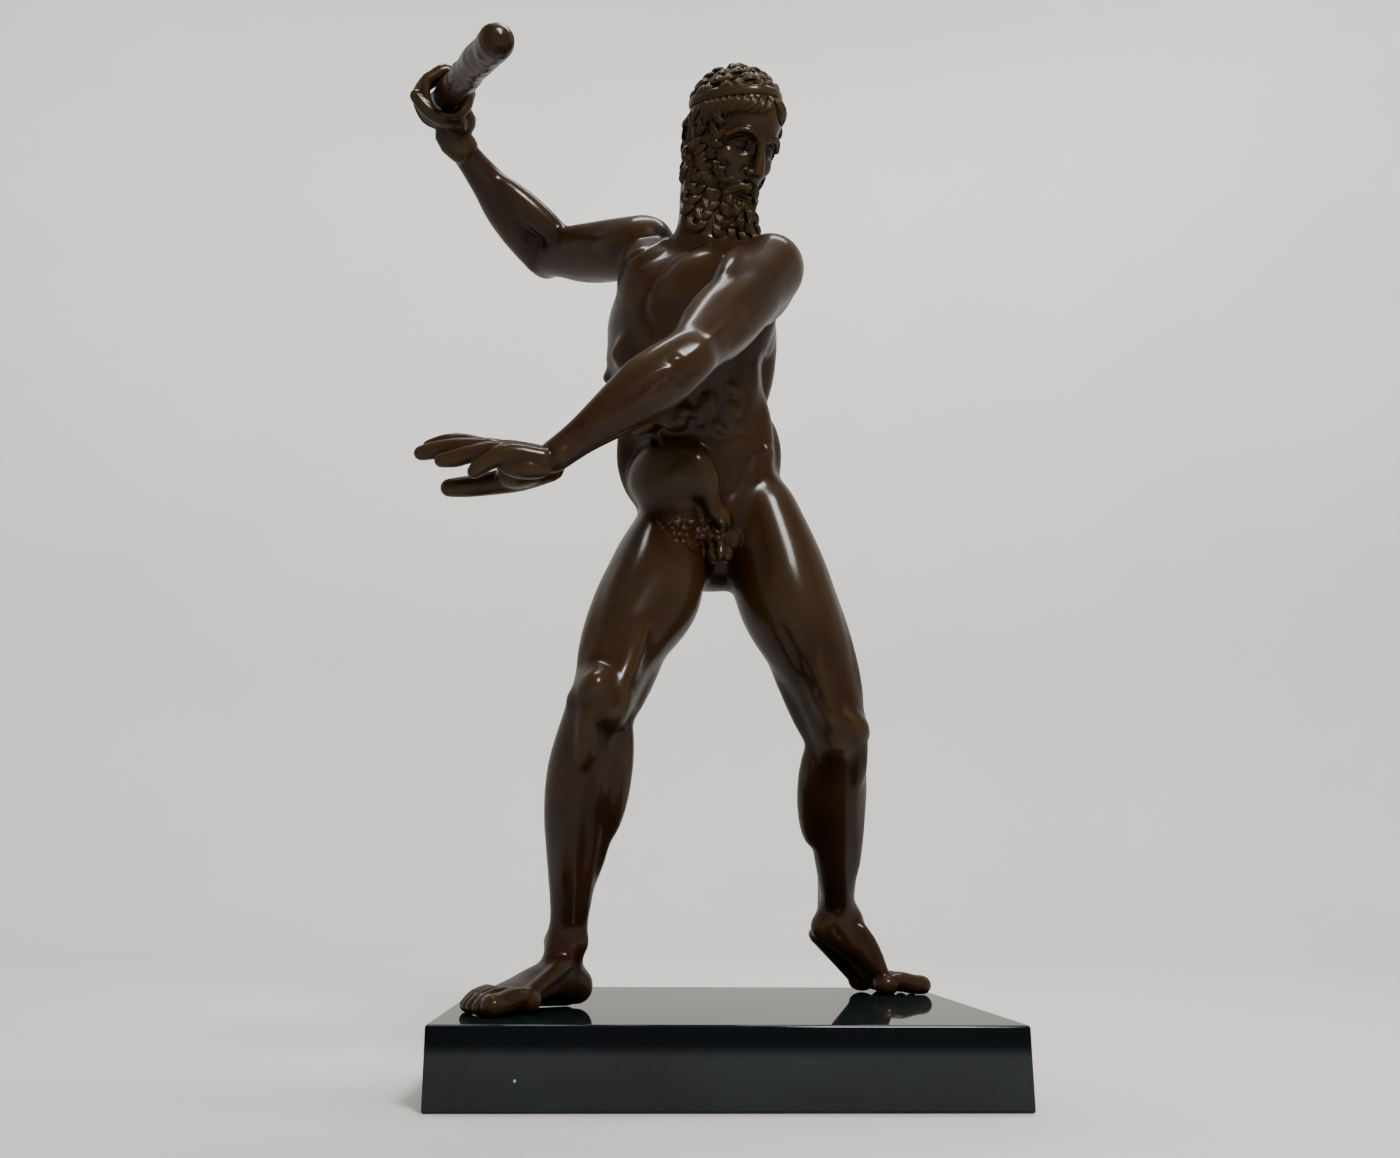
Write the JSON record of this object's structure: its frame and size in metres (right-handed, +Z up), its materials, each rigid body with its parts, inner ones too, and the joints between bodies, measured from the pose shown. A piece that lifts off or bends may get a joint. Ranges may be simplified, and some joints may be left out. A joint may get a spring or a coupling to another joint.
{
  "type": "statue on a plinth",
  "caption": "Bronze statue of a bearded nude man striding forward and swinging a short club over his shoulder, standing on a low polished black stone plinth.",
  "frame": {"origin": "centre of the plinth's flat underside", "axes": "+Z up; the figure's hips and the plinth's long front face look along -Y; +X to the right in the picture, +Y away from the camera"},
  "size_m": [0.355, 0.2814, 0.6607],
  "materials": {
    "bronze": "waxed dark brown patina",
    "club_bronze": "waxed olive brown patina",
    "black_stone": "polished black marble"
  },
  "bodies": {
    "root": {"figure": "bronze", "club": "club_bronze", "plinth": "black_stone"}
  },
  "joints": []
}
